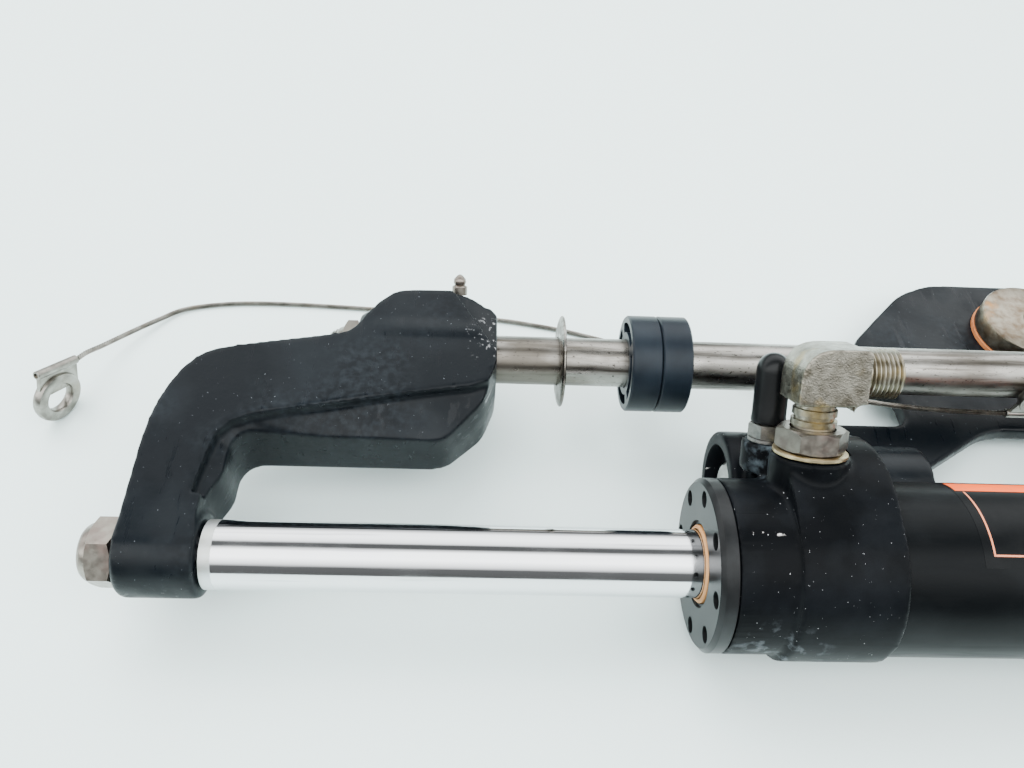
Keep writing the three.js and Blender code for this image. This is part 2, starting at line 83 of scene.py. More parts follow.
TILLER_Y = 106
CYLINDER_HALF = 144.5
GLAND_SEAM = 139.8


# ------------------------------------------------------------------ camera
def make_camera():
    right = Vector((0.9987, -0.0049, 0.0512))
    down = Vector((0.0283, -0.7784, -0.6271))
    forward = Vector((0.0429, 0.6277, -0.7773))
    data = bpy.data.cameras.new("camera")
    data.sensor_width = 36
    data.lens = 28.86
    data.clip_start = 0.01
    camera = bpy.data.objects.new("camera", data)
    bpy.context.scene.collection.objects.link(camera)
    turn = Matrix((right, -down, -forward)).transposed()
    camera.matrix_world = Matrix.Translation((-0.1745, -0.1599, 0.2374)) @ turn.to_4x4()
    bpy.context.scene.camera = camera


# ------------------------------------------------------------------ node materials
class Paint:
    """A material being built: one Principled node and the textures that feed it."""

    def __init__(self, name, color, rough, metal=0.0, sheen=0.5):
        self.material = bpy.data.materials.new(name)
        self.material.use_nodes = True
        self.tree = self.material.node_tree
        self.shader = self.tree.nodes["Principled BSDF"]
        self.shader.inputs["Base Color"].default_value = (*color, 1)
        self.shader.inputs["Roughness"].default_value = rough
        self.shader.inputs["Metallic"].default_value = metal
        self.shader.inputs["Specular IOR Level"].default_value = sheen
        self.coordinates = self.node("ShaderNodeTexCoord").outputs["Object"]
        self.height = None

    def node(self, kind, **values):
        made = self.tree.nodes.new(kind)
        for key, value in values.items():
            setattr(made, key, value)
        return made

    def link(self, source, target):
        self.tree.links.new(source, target)

    def noise(self, scale, stretch=(1, 1, 1), detail=4.0):
        """Noise from 0 to 1, finer at a larger scale and drawn out along an axis with a small stretch."""
        mapping = self.node("ShaderNodeMapping")
        mapping.inputs["Scale"].default_value = stretch
        self.link(self.coordinates, mapping.inputs["Vector"])
        texture = self.node("ShaderNodeTexNoise")
        texture.inputs["Scale"].default_value = scale
        texture.inputs["Detail"].default_value = detail
        texture.inputs["Roughness"].default_value = 0.55
        self.link(mapping.outputs["Vector"], texture.inputs["Vector"])
        return texture.outputs["Fac"]

    def ramp(self, source, low, high):
        """From 0 where the source has the value low to 1 where it has the value high."""
        node = self.node("ShaderNodeMapRange")
        node.inputs["From Min"].default_value = low
        node.inputs["From Max"].default_value = high
        self.link(source, node.inputs["Value"])
        return node.outputs["Result"]

    def times(self, first, second):
        node = self.node("ShaderNodeMath", operation="MULTIPLY")
        self.link(first, node.inputs[0])
        self.link(second, node.inputs[1])
        return node.outputs["Value"]

    def edges(self, low, high):
        """1 on worn outer edges, 0 elsewhere."""
        geometry = self.node("ShaderNodeNewGeometry")
        return self.ramp(geometry.outputs["Pointiness"], low, high)

    def near(self, centre, inner, outer):
        """1 within the inner distance of a point in the model's frame, 0 beyond the outer one (mm)."""
        gap = self.node("ShaderNodeVectorMath", operation="DISTANCE")
        self.link(self.coordinates, gap.inputs[0])
        gap.inputs[1].default_value = [c * 0.001 for c in centre]
        return self.ramp(gap.outputs["Value"], outer * 0.001, inner * 0.001)

    def mix_in(self, socket_name, mask, value):
        """Where the mask is 1, the socket takes the value."""
        socket = self.shader.inputs[socket_name]
        if socket_name == "Base Color":
            node = self.node("ShaderNodeMix", data_type="RGBA")
            first, second, out = node.inputs[6], node.inputs[7], node.outputs[2]
            value = (*value, 1)
        else:
            node = self.node("ShaderNodeMix", data_type="FLOAT")
            first, second, out = node.inputs[2], node.inputs[3], node.outputs[0]
        if socket.is_linked:
            self.link(socket.links[0].from_socket, first)
        else:
            first.default_value = socket.default_value
        second.default_value = value
        self.link(mask, node.inputs[0])
        self.link(out, socket)

    def bump(self, source, distance, strength):
        """Relief from a texture, of the given height in mm, on top of any that is there."""
        node = self.node("ShaderNodeBump")
        node.inputs["Distance"].default_value = distance * 0.001
        node.inputs["Strength"].default_value = strength
        self.link(source, node.inputs["Height"])
        if self.height is not None:
            self.link(self.height, node.inputs["Normal"])
        self.height = node.outputs["Normal"]
        self.link(self.height, self.shader.inputs["Normal"])

    def specks(self, scale, share, value):
        """Small scattered marks, where fine noise is above 1 - share."""
        mask = self.ramp(self.noise(scale, detail=2.0), 1 - share, 1 - share + 0.02)
        self.mix_in("Base Color", mask, value)


def black_paint():
    """Black powder coat, scuffed, speckled, worn on the edges and chipped in one place."""
    paint = Paint("black_powder_coat", (0.0012, 0.0024, 0.0038), 0.3, sheen=0.16)
    paint.mix_in("Base Color", paint.ramp(paint.noise(38), 0.45, 0.7), (0.004, 0.006, 0.008))
    scuffs = paint.times(paint.ramp(paint.noise(26), 0.5, 0.66), paint.ramp(paint.noise(500), 0.4, 0.7))
    paint.mix_in("Base Color", scuffs, (0.0075, 0.0105, 0.0135))
    paint.mix_in("Roughness", paint.ramp(paint.noise(60), 0.42, 0.62), 0.5)
    paint.mix_in("Roughness", paint.ramp(paint.noise(400, (1, 0.12, 1)), 0.58, 0.66), 0.24)
    wear = paint.times(paint.edges(0.56, 0.62), paint.ramp(paint.noise(260), 0.56, 0.62))
    paint.mix_in("Base Color", wear, (0.4, 0.41, 0.42))
    chips = paint.near((-168, 14, 36), 4, 16)
    chips = paint.times(chips, paint.ramp(paint.noise(700), 0.62, 0.66))
    paint.mix_in("Base Color", chips, (0.4, 0.41, 0.42))
    paint.specks(1500, 0.25, (0.16, 0.18, 0.2))
    paint.bump(paint.noise(900), 0.06, 0.45)
    paint.bump(paint.noise(120), 0.2, 0.35)
    return paint.material


def block_paint():
    """Black coat of the end blocks, hazed in two places and worn on the edges."""
    paint = Paint("black_block_coat", (0.0018, 0.0022, 0.0028), 0.3, sheen=0.05)
    paint.mix_in("Base Color", paint.ramp(paint.noise(60), 0.42, 0.7), (0.005, 0.006, 0.0075))
    haze_place = paint.near((-84, -26, 45), 4, 16)
    haze = paint.times(haze_place, paint.ramp(paint.noise(230, detail=8.0), 0.48, 0.85))
    paint.mix_in("Base Color", haze, (0.2, 0.26, 0.3))
    paint.mix_in("Roughness", haze, 0.7)
    low_place = paint.near((-92, -80, 25), 5, 16)
    low_haze = paint.times(low_place, paint.ramp(paint.noise(260, detail=8.0), 0.54, 0.8))
    paint.mix_in("Base Color", low_haze, (0.16, 0.18, 0.2))
    wear = paint.times(paint.edges(0.55, 0.6), paint.ramp(paint.noise(300), 0.54, 0.6))
    paint.mix_in("Base Color", wear, (0.5, 0.49, 0.47))
    paint.specks(1300, 0.262, (0.3, 0.31, 0.32))
    paint.mix_in("Roughness", paint.ramp(paint.noise(90), 0.4, 0.7), 0.44)
    paint.bump(paint.noise(700), 0.05, 0.3)
    return paint.material


def satin_black():
    """The barrel's coat."""
    paint = Paint("satin_black_tube", (0.002, 0.0025, 0.003), 0.3, sheen=0.07)
    paint.mix_in("Base Color", paint.ramp(paint.noise(40), 0.45, 0.75), (0.006, 0.007, 0.008))
    paint.mix_in("Roughness", paint.ramp(paint.noise(300, (0.15, 1, 1)), 0.5, 0.7), 0.42)
    paint.bump(paint.noise(600), 0.03, 0.25)
    return paint.material


def anodised():
    """The gland's dark coat, nicked in one place."""
    paint = Paint("dark_anodised_gland", (0.006, 0.0065, 0.007), 0.32, 0.1, 0.18)
    paint.mix_in("Base Color", paint.ramp(paint.noise(80), 0.45, 0.7), (0.014, 0.015, 0.016))
    nick = paint.times(paint.near((-107, -66, 41), 1, 4), paint.ramp(paint.noise(700), 0.54, 0.58))
    paint.mix_in("Base Color", nick, (0.5, 0.36, 0.36))
    paint.bump(paint.noise(900), 0.02, 0.3)
    return paint.material


def chrome():
    """Polished chrome with faint marks along the rod."""
    paint = Paint("hard_chrome", (0.8, 0.81, 0.83), 0.06, 1)
    paint.mix_in("Roughness", paint.ramp(paint.noise(90, (0.5, 2, 2)), 0.45, 0.7), 0.16)
    paint.mix_in("Base Color", paint.ramp(paint.noise(350, (0.04, 2, 2)), 0.62, 0.72), (0.5, 0.5, 0.53))
    paint.bump(paint.noise(500, (0.02, 2, 2)), 0.01, 0.3)
    return paint.material


def frosted():
    """The matt bands at the rod's ends."""
    paint = Paint("frosted_chrome", (0.66, 0.69, 0.7), 0.45, 0.9)
    paint.mix_in("Base Color", paint.ramp(paint.noise(120), 0.4, 0.7), (0.5, 0.52, 0.46))
    return paint.material


def worn_steel():
    """Dull steel, stained, streaked along the rod and pitted."""
    paint = Paint("worn_steel", (0.36, 0.345, 0.32), 0.24, 1)
    paint.mix_in("Base Color", paint.ramp(paint.noise(28, (0.6, 1, 1), 6), 0.44, 0.6), (0.15, 0.135, 0.115))
    streaks = paint.ramp(paint.noise(420, (0.06, 1, 1), 8), 0.5, 0.66)
    paint.mix_in("Base Color", streaks, (0.1, 0.09, 0.076))
    pits = paint.ramp(paint.noise(1700, (0.4, 1, 1), 4), 0.62, 0.68)
    paint.mix_in("Base Color", pits, (0.07, 0.062, 0.055))
    paint.mix_in("Roughness", paint.ramp(paint.noise(150, (0.3, 1, 1)), 0.4, 0.65), 0.45)
    paint.bump(paint.noise(700, (0.2, 1, 1), 8), 0.05, 0.5)
    return paint.material


def zinc(name, color, dark, stain, grain):
    """A worn metal with two further colours in patches and a grain of the given strength."""
    paint = Paint(name, color, 0.28, 1)
    paint.mix_in("Base Color", paint.ramp(paint.noise(220), 0.4, 0.65), dark)
    paint.mix_in("Base Color", paint.ramp(paint.noise(90), 0.55, 0.72), stain)
    paint.mix_in("Roughness", paint.ramp(paint.noise(500), 0.4, 0.65), 0.42)
    paint.bump(paint.noise(2200, detail=2.0), 0.1, grain)
    return paint.material


def plain(name, color, rough, second, scale=150, sheen=0.2, relief=0.3):
    """A smooth material that varies between two colours."""
    paint = Paint(name, color, rough, sheen=sheen)
    paint.mix_in("Base Color", paint.ramp(paint.noise(scale), 0.42, 0.7), second)
    paint.bump(paint.noise(scale * 5), 0.03, relief)
    return paint.material


BLACK = black_paint()
BLOCK = block_paint()
TUBE = satin_black()
GLAND = anodised()
CHROME = chrome()
FROSTED = frosted()
STEEL = worn_steel()
FORGED = zinc("forged_zinc", (0.3, 0.28, 0.235), (0.15, 0.135, 0.105), (0.34, 0.25, 0.11), 1.1)
NUT = zinc("zinc_nut", (0.27, 0.25, 0.215), (0.2, 0.165, 0.145), (0.28, 0.2, 0.175), 0.12)
THREAD = zinc("zinc_thread", (0.33, 0.31, 0.26), (0.22, 0.19, 0.13), (0.32, 0.24, 0.1), 0.1)
GOLD = zinc("gold_zinc_washer", (0.66, 0.55, 0.33), (0.5, 0.4, 0.24), (0.72, 0.62, 0.45), 0.1)
DULL = zinc("corroded_hexagon", (0.3, 0.29, 0.27), (0.13, 0.13, 0.13), (0.42, 0.41, 0.38), 0.8)
RUST = zinc("worn_pin_head", (0.3, 0.27, 0.215), (0.17, 0.125, 0.085), (0.38, 0.21, 0.09), 0.4)
PITTED = zinc("pitted_pin_end", (0.62, 0.61, 0.59), (0.4, 0.39, 0.37), (0.5, 0.49, 0.45), 1.0)
ROPE = zinc("stainless_wire", (0.32, 0.305, 0.275), (0.18, 0.165, 0.145), (0.28, 0.24, 0.19), 0.2)
RUBBER = plain("black_rubber", (0.0025, 0.003, 0.0035), 0.28, (0.005, 0.0055, 0.006))
NYLON = plain("blue_grey_nylon", (0.004, 0.007, 0.011), 0.36, (0.009, 0.014, 0.02), 60)
AMBER = plain("amber_urethane", (0.42, 0.2, 0.07), 0.5, (0.5, 0.27, 0.12))
BUSHING = plain("orange_bushing", (0.5, 0.19, 0.07), 0.5, (0.38, 0.13, 0.05))
LABEL = plain("blank_label", (0.003, 0.0035, 0.004), 0.3, (0.005, 0.0055, 0.006), sheen=0.07)
LABEL_LINE = plain("label_line", (0.62, 0.22, 0.12), 0.4, (0.5, 0.16, 0.08), 300)
LABEL_STRIP = plain("label_strip", (0.86, 0.11, 0.012), 0.4, (0.7, 0.1, 0.02), 200)
FLOOR = plain("pale_table", (0.71, 0.845, 0.835), 0.6, (0.68, 0.81, 0.8), 3, 0.5, 0.05)


# ------------------------------------------------------------------ meshes
def from_bmesh(name, shape, material, smooth=True):
    """A mesh object in metres from a bmesh in millimetres, both in the model's frame."""
    bmesh.ops.recalc_face_normals(shape, faces=shape.faces)
    bmesh.ops.scale(shape, vec=(0.001, 0.001, 0.001), verts=shape.verts)
    data = bpy.data.meshes.new(name)
    shape.to_mesh(data)
    shape.free()
    data.materials.append(material)
    made = bpy.data.objects.new(name, data)
    bpy.context.scene.collection.objects.link(made)
    if smooth:
        data.shade_smooth()
        data.set_sharp_from_angle(angle=math.radians(35))
    return made


def skin(loops, closed_path=False):
    """A bmesh through equal loops of points, joined in order and capped unless the path is closed."""
    shape = bmesh.new()
    rings = [[shape.verts.new(p) for p in loop] for loop in loops]
    pairs = list(zip(rings, rings[1:]))
    if closed_path:
        pairs.append((rings[-1], rings[0]))
    for first, second in pairs:
        for i in range(len(first)):
            j = (i + 1) % len(first)
            shape.faces.new((first[i], first[j], second[j], second[i]))
    if not closed_path:
        shape.faces.new(rings[0])
        shape.faces.new(list(reversed(rings[-1])))
    return shape


def lathe(profile, centre=(0, 0, 0), steps=96, direction=(1, 0, 0)):
    """Turned shape from a profile of (distance along the direction, radius), closed if its ends meet."""
    axis = Vector(direction).normalized()
    side = axis.orthogonal().normalized()
    other = axis.cross(side)
    closed = profile[0] == profile[-1]
    points = profile[:-1] if closed else profile
    loops = []
    for along, radius in points:
        radius = max(radius, 0.001)
        loop = []
        for i in range(steps):
            angle = 2 * math.pi * i / steps
            spoke = side * math.cos(angle) + other * math.sin(angle)
            loop.append(ROD_AXIS + Vector(centre) + axis * along + spoke * radius)
        loops.append(loop)
    return skin(loops, closed_path=closed)


def rounded(corners, steps=5):
    """Points of a closed outline: corners (x, y, r), each rounded by a quadratic curve of side length r."""
    points = []
    for i, (x, y, r) in enumerate(corners):
        here = Vector((x, y))
        before = Vector(corners[i - 1][:2])
        after = Vector(corners[(i + 1) % len(corners)][:2])
        if r == 0:
            points.append(here)
            continue
        start = here + (before - here).normalized() * r
        end = here + (after - here).normalized() * r
        for k in range(steps + 1):
            t = k / steps
            points.append(start * (1 - t) ** 2 + here * 2 * t * (1 - t) + end * t ** 2)
    return points


def belt(circles, steps=120):
    """Outline round circles (y, z, r), as a belt would lie."""
    points = []
    for i in range(steps):
        angle = 2 * math.pi * i / steps
        c, s = math.cos(angle), math.sin(angle)
        y, z, r = max(circles, key=lambda k: k[0] * c + k[1] * s + k[2])
        points.append(Vector((y + r * c, z + r * s)))
    return points


def prism_z(points, z0, z1):
    """Upright prism of an outline (x, y), with heights from the rod axis."""
    return skin([[ROD_AXIS + Vector((p.x, p.y, z)) for p in points] for z in (z0, z1)])


def prism_x(points, x0, x1):
    """Prism along the rod of an outline (y, z)."""
    return skin([[ROD_AXIS + Vector((x, p.x, p.y)) for p in points] for x in (x0, x1)])


def evaluated(source, name, material):
    """A new object holding the source with its modifiers applied; the source goes."""
    graph = bpy.context.evaluated_depsgraph_get()
    data = bpy.data.meshes.new_from_object(source.evaluated_get(graph))
    bpy.data.objects.remove(source)
    data.name = name
    data.materials.clear()
    data.materials.append(material)
    made = bpy.data.objects.new(name, data)
    bpy.context.scene.collection.objects.link(made)
    data.shade_smooth()
    return made


def together(shapes):
    """One bmesh from several, which go."""
    whole = bmesh.new()
    for shape in shapes:
        data = bpy.data.meshes.new("part")
        shape.to_mesh(data)
        shape.free()
        whole.from_mesh(data)
        bpy.data.meshes.remove(data)
    return whole


def boolean(target, cutter, operation):
    """Adds a boolean step with the cutter to the target's modifiers."""
    step = target.modifiers.new(operation.lower(), "BOOLEAN")
    step.operation = operation
    step.solver = "MANIFOLD"
    step.object = cutter


def cut(body, tools, name, material, operation="DIFFERENCE"):
    """Takes each tool away from the body, or keeps what they share with it, one after the other."""
    cutters = []
    for tool in tools:
        cutter = from_bmesh("cutter", tool, material, smooth=False)
        boolean(body, cutter, operation)
        cutters.append(cutter)
    bpy.context.view_layer.update()
    made = evaluated(body, name, material)
    for cutter in cutters:
        bpy.data.objects.remove(cutter)
    return made


def cast(name, shapes, cuts, machined, material, voxel, passes):
    """A casting: shapes joined, cut and softened, then machined with sharp tools."""
    body = from_bmesh(name + "_rough", together(shapes), material, smooth=False)
    remesh = body.modifiers.new("remesh", "REMESH")
    remesh.mode = "VOXEL"
    remesh.voxel_size = voxel * 0.001
    body = evaluated(body, name + "_joined", material)
    if cuts:
        body = cut(body, cuts, name + "_cut", material)
    soften = body.modifiers.new("remesh", "REMESH")
    soften.mode = "VOXEL"
    soften.voxel_size = voxel * 0.001
    smooth = body.modifiers.new("smooth", "SMOOTH")
    smooth.factor = 0.5
    smooth.iterations = passes
    body = evaluated(body, name + "_soft", material)
    if machined:
        body = cut(body, machined, name, material)
    body.name = name
    body.data.name = name
    body.data.set_sharp_from_angle(angle=math.radians(32))
    return body


def show(piece, body, slot, *nodes):
    """Puts a piece on its CAD body, in the place of CAD nodes."""
    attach(piece, body)
    if nodes:
        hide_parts(*nodes)


def mirror_piece(piece, name, about=0.0):
    """A copy of a piece for the other end, mirrored across X = about (mm)."""
    data = piece.data.copy()
    data.transform(Matrix.Scale(-1, 4, (1, 0, 0)))
    data.transform(Matrix.Translation((2 * about * 0.001, 0, 0)))
    data.flip_normals()
    data.name = name
    made = bpy.data.objects.new(name, data)
    bpy.context.scene.collection.objects.link(made)
    return made


def pair(make, name, body, slot, about=0.0):
    """Makes the left piece, mirrors it for the right end, and shows both in place of their CAD nodes."""
    left = make(f"{name}_left_look")
    right = mirror_piece(left, f"{name}_right_look", about)
    for piece, side in ((left, "left"), (right, "right")):
        own = body.format(side=side)
        show(piece, own, slot, f"{name}_{side}")


def turned_piece(profile, material, centre=(0, 0, 0), steps=96, direction=(1, 0, 0)):
    """A maker of a turned piece, for pair."""
    return lambda name: from_bmesh(name, lathe(profile, centre, steps, direction), material)


# ------------------------------------------------------------------ rods, nuts and rings
def rods():
    """Piston rod with its threaded ends and frosted bands, and the support rod."""
    shoulder = FRAME_HALF - GAP
    stud_out = BOSS_OUT + 9.2
    half = [(shoulder - 0.6, ROD_R), (shoulder, ROD_R - 0.6), (shoulder, STUD_R)]
    threads = [(BOSS_OUT + 0.6 * k, STUD_R - (0.35 if k % 2 else 0)) for k in range(15)]
    end = half + threads + [(stud_out, STUD_R - 0.8), (stud_out, 0)]
    profile = [(-x, r) for x, r in reversed(end)] + end
    rod = from_bmesh("piston_rod_look", lathe(profile, steps=128), CHROME)
    show(rod, "rod_frame", "chrome_rod", "piston_rod")
    for side, sign in (("left", -1), ("right", 1)):
        band = [(sign * (FRAME_HALF - 0.7), ROD_R - 0.3), (sign * (FRAME_HALF - 0.7), ROD_R + 0.02),
                (sign * (FRAME_HALF - 3.9), ROD_R + 0.02), (sign * (FRAME_HALF - 3.9), ROD_R - 0.3)]
        ring = from_bmesh(f"rod_band_{side}", lathe(band + band[:1], steps=128), FROSTED)
        show(ring, "rod_frame", "chrome_rod")
    support_half = TUBE_BOSS_OUT + 10
    profile = [(-support_half, 0), (-support_half, SUPPORT_R - 1), (-support_half + 1, SUPPORT_R),
               (support_half - 1, SUPPORT_R), (support_half, SUPPORT_R - 1), (support_half, 0)]
    support = from_bmesh("support_rod_look", lathe(profile, (0, *SUPPORT), 128), STEEL)
    show(support, "rod_frame", "worn_steel", "support_rod")


def chamfered_hexagon(name, x0, x1, flats, centre, direction, material, hole):
    """Hexagon nut with its corners turned off at both faces and a plain bore."""
    corner = flats / math.sqrt(3)
    hexagon = lathe([(x0, 0), (x0, corner), (x1, corner), (x1, 0)], centre, 6, direction)
    slope = (corner - flats / 2) * 0.62
    near = [(x0 - 0.01, 0), (x0 - 0.01, flats / 2 * 0.98), (x0 + slope, corner + 0.02)]
    far = [(x1 - slope, corner + 0.02), (x1 + 0.01, flats / 2 * 0.98), (x1 + 0.01, 0)]
    body = from_bmesh(name, hexagon, material, smooth=False)
    body = cut(body, [lathe(near + far, centre, 96, direction)], name, material, "INTERSECT")
    bore = lathe([(x0 - 1, 0), (x0 - 1, hole), (x1 + 1, hole), (x1 + 1, 0)], centre, 64, direction)
    body = cut(body, [bore], name, material)
    body.data.set_sharp_from_angle(angle=math.radians(20))
    return body


def merged(name, pieces):
    """One object from several, keeping each one's material."""
    data = bpy.data.meshes.new(name)
    shape = bmesh.new()
    for index, piece in enumerate(pieces):
        start = len(shape.faces)
        shape.from_mesh(piece.data)
        shape.faces.ensure_lookup_table()
        for face in shape.faces[start:]:
            face.material_index = index
        data.materials.append(piece.data.materials[0])
        bpy.data.objects.remove(piece)
    shape.to_mesh(data)
    shape.free()
    made = bpy.data.objects.new(name, data)
    bpy.context.scene.collection.objects.link(made)
    return made


def lock_nut(x0, x1, flats, hole, centre):
    """Nut with a rounded locking collar on its outer side."""
    def make(name):
        collar_r = flats * 0.48
        start = x0 + 0.35
        profile = [(start, hole), (start, hole + 0.3), (x0 + 0.7, flats * 0.42), (x0 + 1.6, flats * 0.455),
                   (x0 + 3.1, collar_r), (x0 + 3.1, hole), (start, hole)]
        collar = from_bmesh("collar", lathe(profile, centre), NUT)
        hexagon = chamfered_hexagon("hexagon", x0 + 3, x1, flats, centre, (1, 0, 0), NUT, hole)
        return merged(name, [collar, hexagon])
    return make


def nuts_and_rings():
    """Nuts and grease fittings on the brackets, and the loose rings on the support rod."""
    face = -BOSS_OUT - GAP
    pair(lock_nut(face - 10, face, 17.5, STUD_R + GAP, (0, 0, 0)), "rod_nut", "rod_frame", "zinc_steel")
    hole = SUPPORT_R + GAP
    inner = -TUBE_BOSS_OUT - GAP
    pair(lock_nut(inner - 8, inner, 20, hole, (0, *SUPPORT)), "support_nut", "rod_frame", "zinc_steel")
    nipple = [(0, 0), (0, 2.5), (2.6, 2.5), (3.2, 1.7), (4.1, 2.1), (5.2, 1.9), (6.2, 1), (6.6, 0.4),
              (6.7, 0)]
    upward = (0, math.sin(GREASE_LEAN), math.cos(GREASE_LEAN))
    pair(turned_piece(nipple, NUT, GREASE_PLACE, 48, upward), "grease_fitting", "rod_frame", "zinc_steel")
    x = WASHER_X
    washer = [(x - 0.8, hole), (x - 0.75, 12.3), (x - 0.5, 13), (x - 0.5, 13.6), (x - 0.1, 14.7),
              (x + 0.2, 15.05), (x + 0.6, 15.1), (x + 0.9, 14.8), (x + 0.6, 13), (x + 0.5, hole),
              (x - 0.8, hole)]
    pair(turned_piece(washer, STEEL, (0, *SUPPORT)), "tube_washer", "washer_{side}", "worn_steel")
    for place, x0 in SPACER_X:
        left = spacer(f"spacer_left_{place}_look", x0)
        right = mirror_piece(left, f"spacer_right_{place}_look")
        for piece, side in ((left, "left"), (right, "right")):
            show(piece, f"spacer_{place}_{side}", "dark_nylon", f"spacer_{side}_{place}")


def spacer(name, x0):
    """Nylon ring with four curved pockets in its outer face."""
    inner, outer, width = SUPPORT_R + GAP, 15.9, 9.5
    profile = [(x0, inner), (x0, outer - 0.5), (x0 + 0.5, outer), (x0 + width - 0.4, outer),
               (x0 + width, outer - 0.4), (x0 + width, inner), (x0, inner)]
    body = from_bmesh(name, lathe(profile, (0, *SUPPORT)), NYLON)
    pockets = []
    for k in range(4):
        middle = math.radians(65 + 90 * k)
        spread = math.radians(37)
        points = []
        for radius, order in ((10.4, 1), (13.6, -1)):
            for i in range(13)[::order]:
                angle = middle - spread + 2 * spread * i / 12
                y = SUPPORT[0] + radius * math.cos(angle)
                z = SUPPORT[1] + radius * math.sin(angle)
                points.append(Vector((y, z)))
        pockets.append(prism_x(points, x0 - 1, x0 + 6))
    body = cut(body, pockets, name, NYLON)
    body.data.set_sharp_from_angle(angle=math.radians(30))
    return body


# ------------------------------------------------------------------ brackets
def ruled_cut(inner, outer, top):
    """A cutter that leaves a sloping shelf between two lines of points (x, y, z)."""
    shape = bmesh.new()
    lines = (inner, outer)
    low = [[shape.verts.new(ROD_AXIS + Vector(p)) for p in line] for line in lines]
    high = [[shape.verts.new(ROD_AXIS + Vector((p[0], p[1], top))) for p in line] for line in lines]
    for a, b in (low, high):
        for i in range(len(a) - 1):
            shape.faces.new((a[i], a[i + 1], b[i + 1], b[i]))
    for k in (0, 1):
        for i in range(len(inner) - 1):
            shape.faces.new((low[k][i], low[k][i + 1], high[k][i + 1], high[k][i]))
    for i in (0, -1):
        shape.faces.new((low[0][i], low[1][i], high[1][i], high[0][i]))
    return shape


def face_height(y):
    """Height of the bracket's upper face, which rises towards the back."""
    return BOSS_R + 0.113 * y


def bracket(name):
    """Goose-neck bracket: an arm with a sloping shelf and a boss on each of the two rods."""
    plan = rounded([
        (-269.4, -2, 0), (-248.9, -2, 0), (-248.9, 14, 3), (-245.75, 20, 3), (-245.75, 34.5, 8.5),
        (-184, 34.5, 4), (-172.4, 46, 3), (-168.4, 58, 2), (-168.4, 79, 4), (-175, 86, 5), (-201, 84.8, 5),
        (-208.5, 77, 4), (-214, 67.5, 3.5), (-259, 59, 9), (-268.6, 41, 12),
    ])
    section = rounded([(-14, -8.5, 0), (88, -8.5, 1), (88, 0, 1), (86, face_height(84), 3),
                       (0, face_height(0), 0), (-14, 10, 0)])
    body = from_bmesh("arm", prism_z(plan, -13, 30), BLACK, smooth=False)
    body = cut(body, [prism_x(section, -275, -160)], "arm", BLACK, "INTERSECT")
    arm = bmesh.new()
    arm.from_mesh(body.data)
    bmesh.ops.scale(arm, vec=(1000, 1000, 1000), verts=arm.verts)
    bpy.data.objects.remove(body)
    rod_boss = [(-269.7, 0), (-269.7, BOSS_R - 1.2), (-268.4, BOSS_R), (-248.9, BOSS_R),
                (-247.9, BOSS_R - 0.6), (-247.9, 0)]
    tube_in = -TUBE_BOSS_IN - 0.1
    tube_boss = [(-TUBE_BOSS_OUT, 0), (-TUBE_BOSS_OUT, TUBE_BOSS_R - 3.5),
                 (-TUBE_BOSS_OUT + 6, TUBE_BOSS_R), (-TUBE_BOSS_IN - 2.5, TUBE_BOSS_R),
                 (tube_in, TUBE_BOSS_R - 2.5), (tube_in, 0)]
    step = [(-168, 52), (-176, 48.5), (-192, 46), (-208, 43), (-226, 39.6), (-240, 36.8), (-245, 34.5),
            (-248.3, 30.5), (-249.6, 25), (-250.6, 19), (-251.6, 12)]
    rim = [(-160, 46), (-174, 32), (-190, 30), (-208, 30), (-225, 30), (-236, 30), (-239.5, 28.5),
           (-241.5, 26), (-242, 23), (-242.3, 19), (-242.3, 12)]
    step_height, shelf_fall = 3.3, 6.5
    shelf_inner = [(x, y, face_height(y) - step_height) for x, y in step]
    shelf_outer = []
    for i, (x, y) in enumerate(rim):
        fall = shelf_fall if i < 6 else shelf_fall - 0.6 * (i - 5)
        shelf_outer.append((x, y, face_height(y) - step_height - fall))
    corner = ruled_cut([(-186, 90, 20.3), (-165, 56, 16)], [(-160, 100, 11), (-160, 50, 11)], 40)
    return cast(
        name,
        [arm, lathe(rod_boss), lathe(tube_boss, (0, *SUPPORT))],
        [ruled_cut(shelf_inner, shelf_outer, 40), corner],
        [lathe([(-275, 0), (-275, STUD_R + GAP), (-240, STUD_R + GAP), (-240, 0)]),
         lathe([(-260, 0), (-260, SUPPORT_R + GAP), (-160, SUPPORT_R + GAP), (-160, 0)], (0, *SUPPORT)),
         lathe([(-232, 0), (-232, 12.6), (-TUBE_BOSS_OUT, 12.6), (-TUBE_BOSS_OUT, 0)], (0, *SUPPORT))],
        BLACK, voxel=0.6, passes=7,
    )


# ------------------------------------------------------------------ cylinder
def at_left(x):
    """A place on the left half of the cylinder, by its distance from the cylinder's middle."""
    return CYLINDER_SHIFT - x


FITTING = Vector((0, math.cos(FITTING_ANGLE), math.sin(FITTING_ANGLE)))
ELBOW_FOOT = (at_left(FITTING_X), 0, 0)
BLEEDER_FOOT = (at_left(BLEEDER_X), FITTING.z * BLEEDER_BACK, -FITTING.y * BLEEDER_BACK)


def step_tool(step_x):
    """Cuts the neck clean below the band's edge, over the front, top and underside."""
    start, neck = at_left(GLAND_SEAM + 1), NECK_R - 0.05
    profile = [(start, neck), (step_x - 2.6, neck), (step_x - 1, NECK_R + 0.3), (step_x, NECK_R + 1.1),
               (step_x, 60), (start, 60)]
    loops = []
    for degrees in range(84, 263, 2):
        angle = math.radians(degrees)
        loops.append([ROD_AXIS + Vector((x, r * math.cos(angle), r * math.sin(angle))) for x, r in profile])
    return skin(loops)


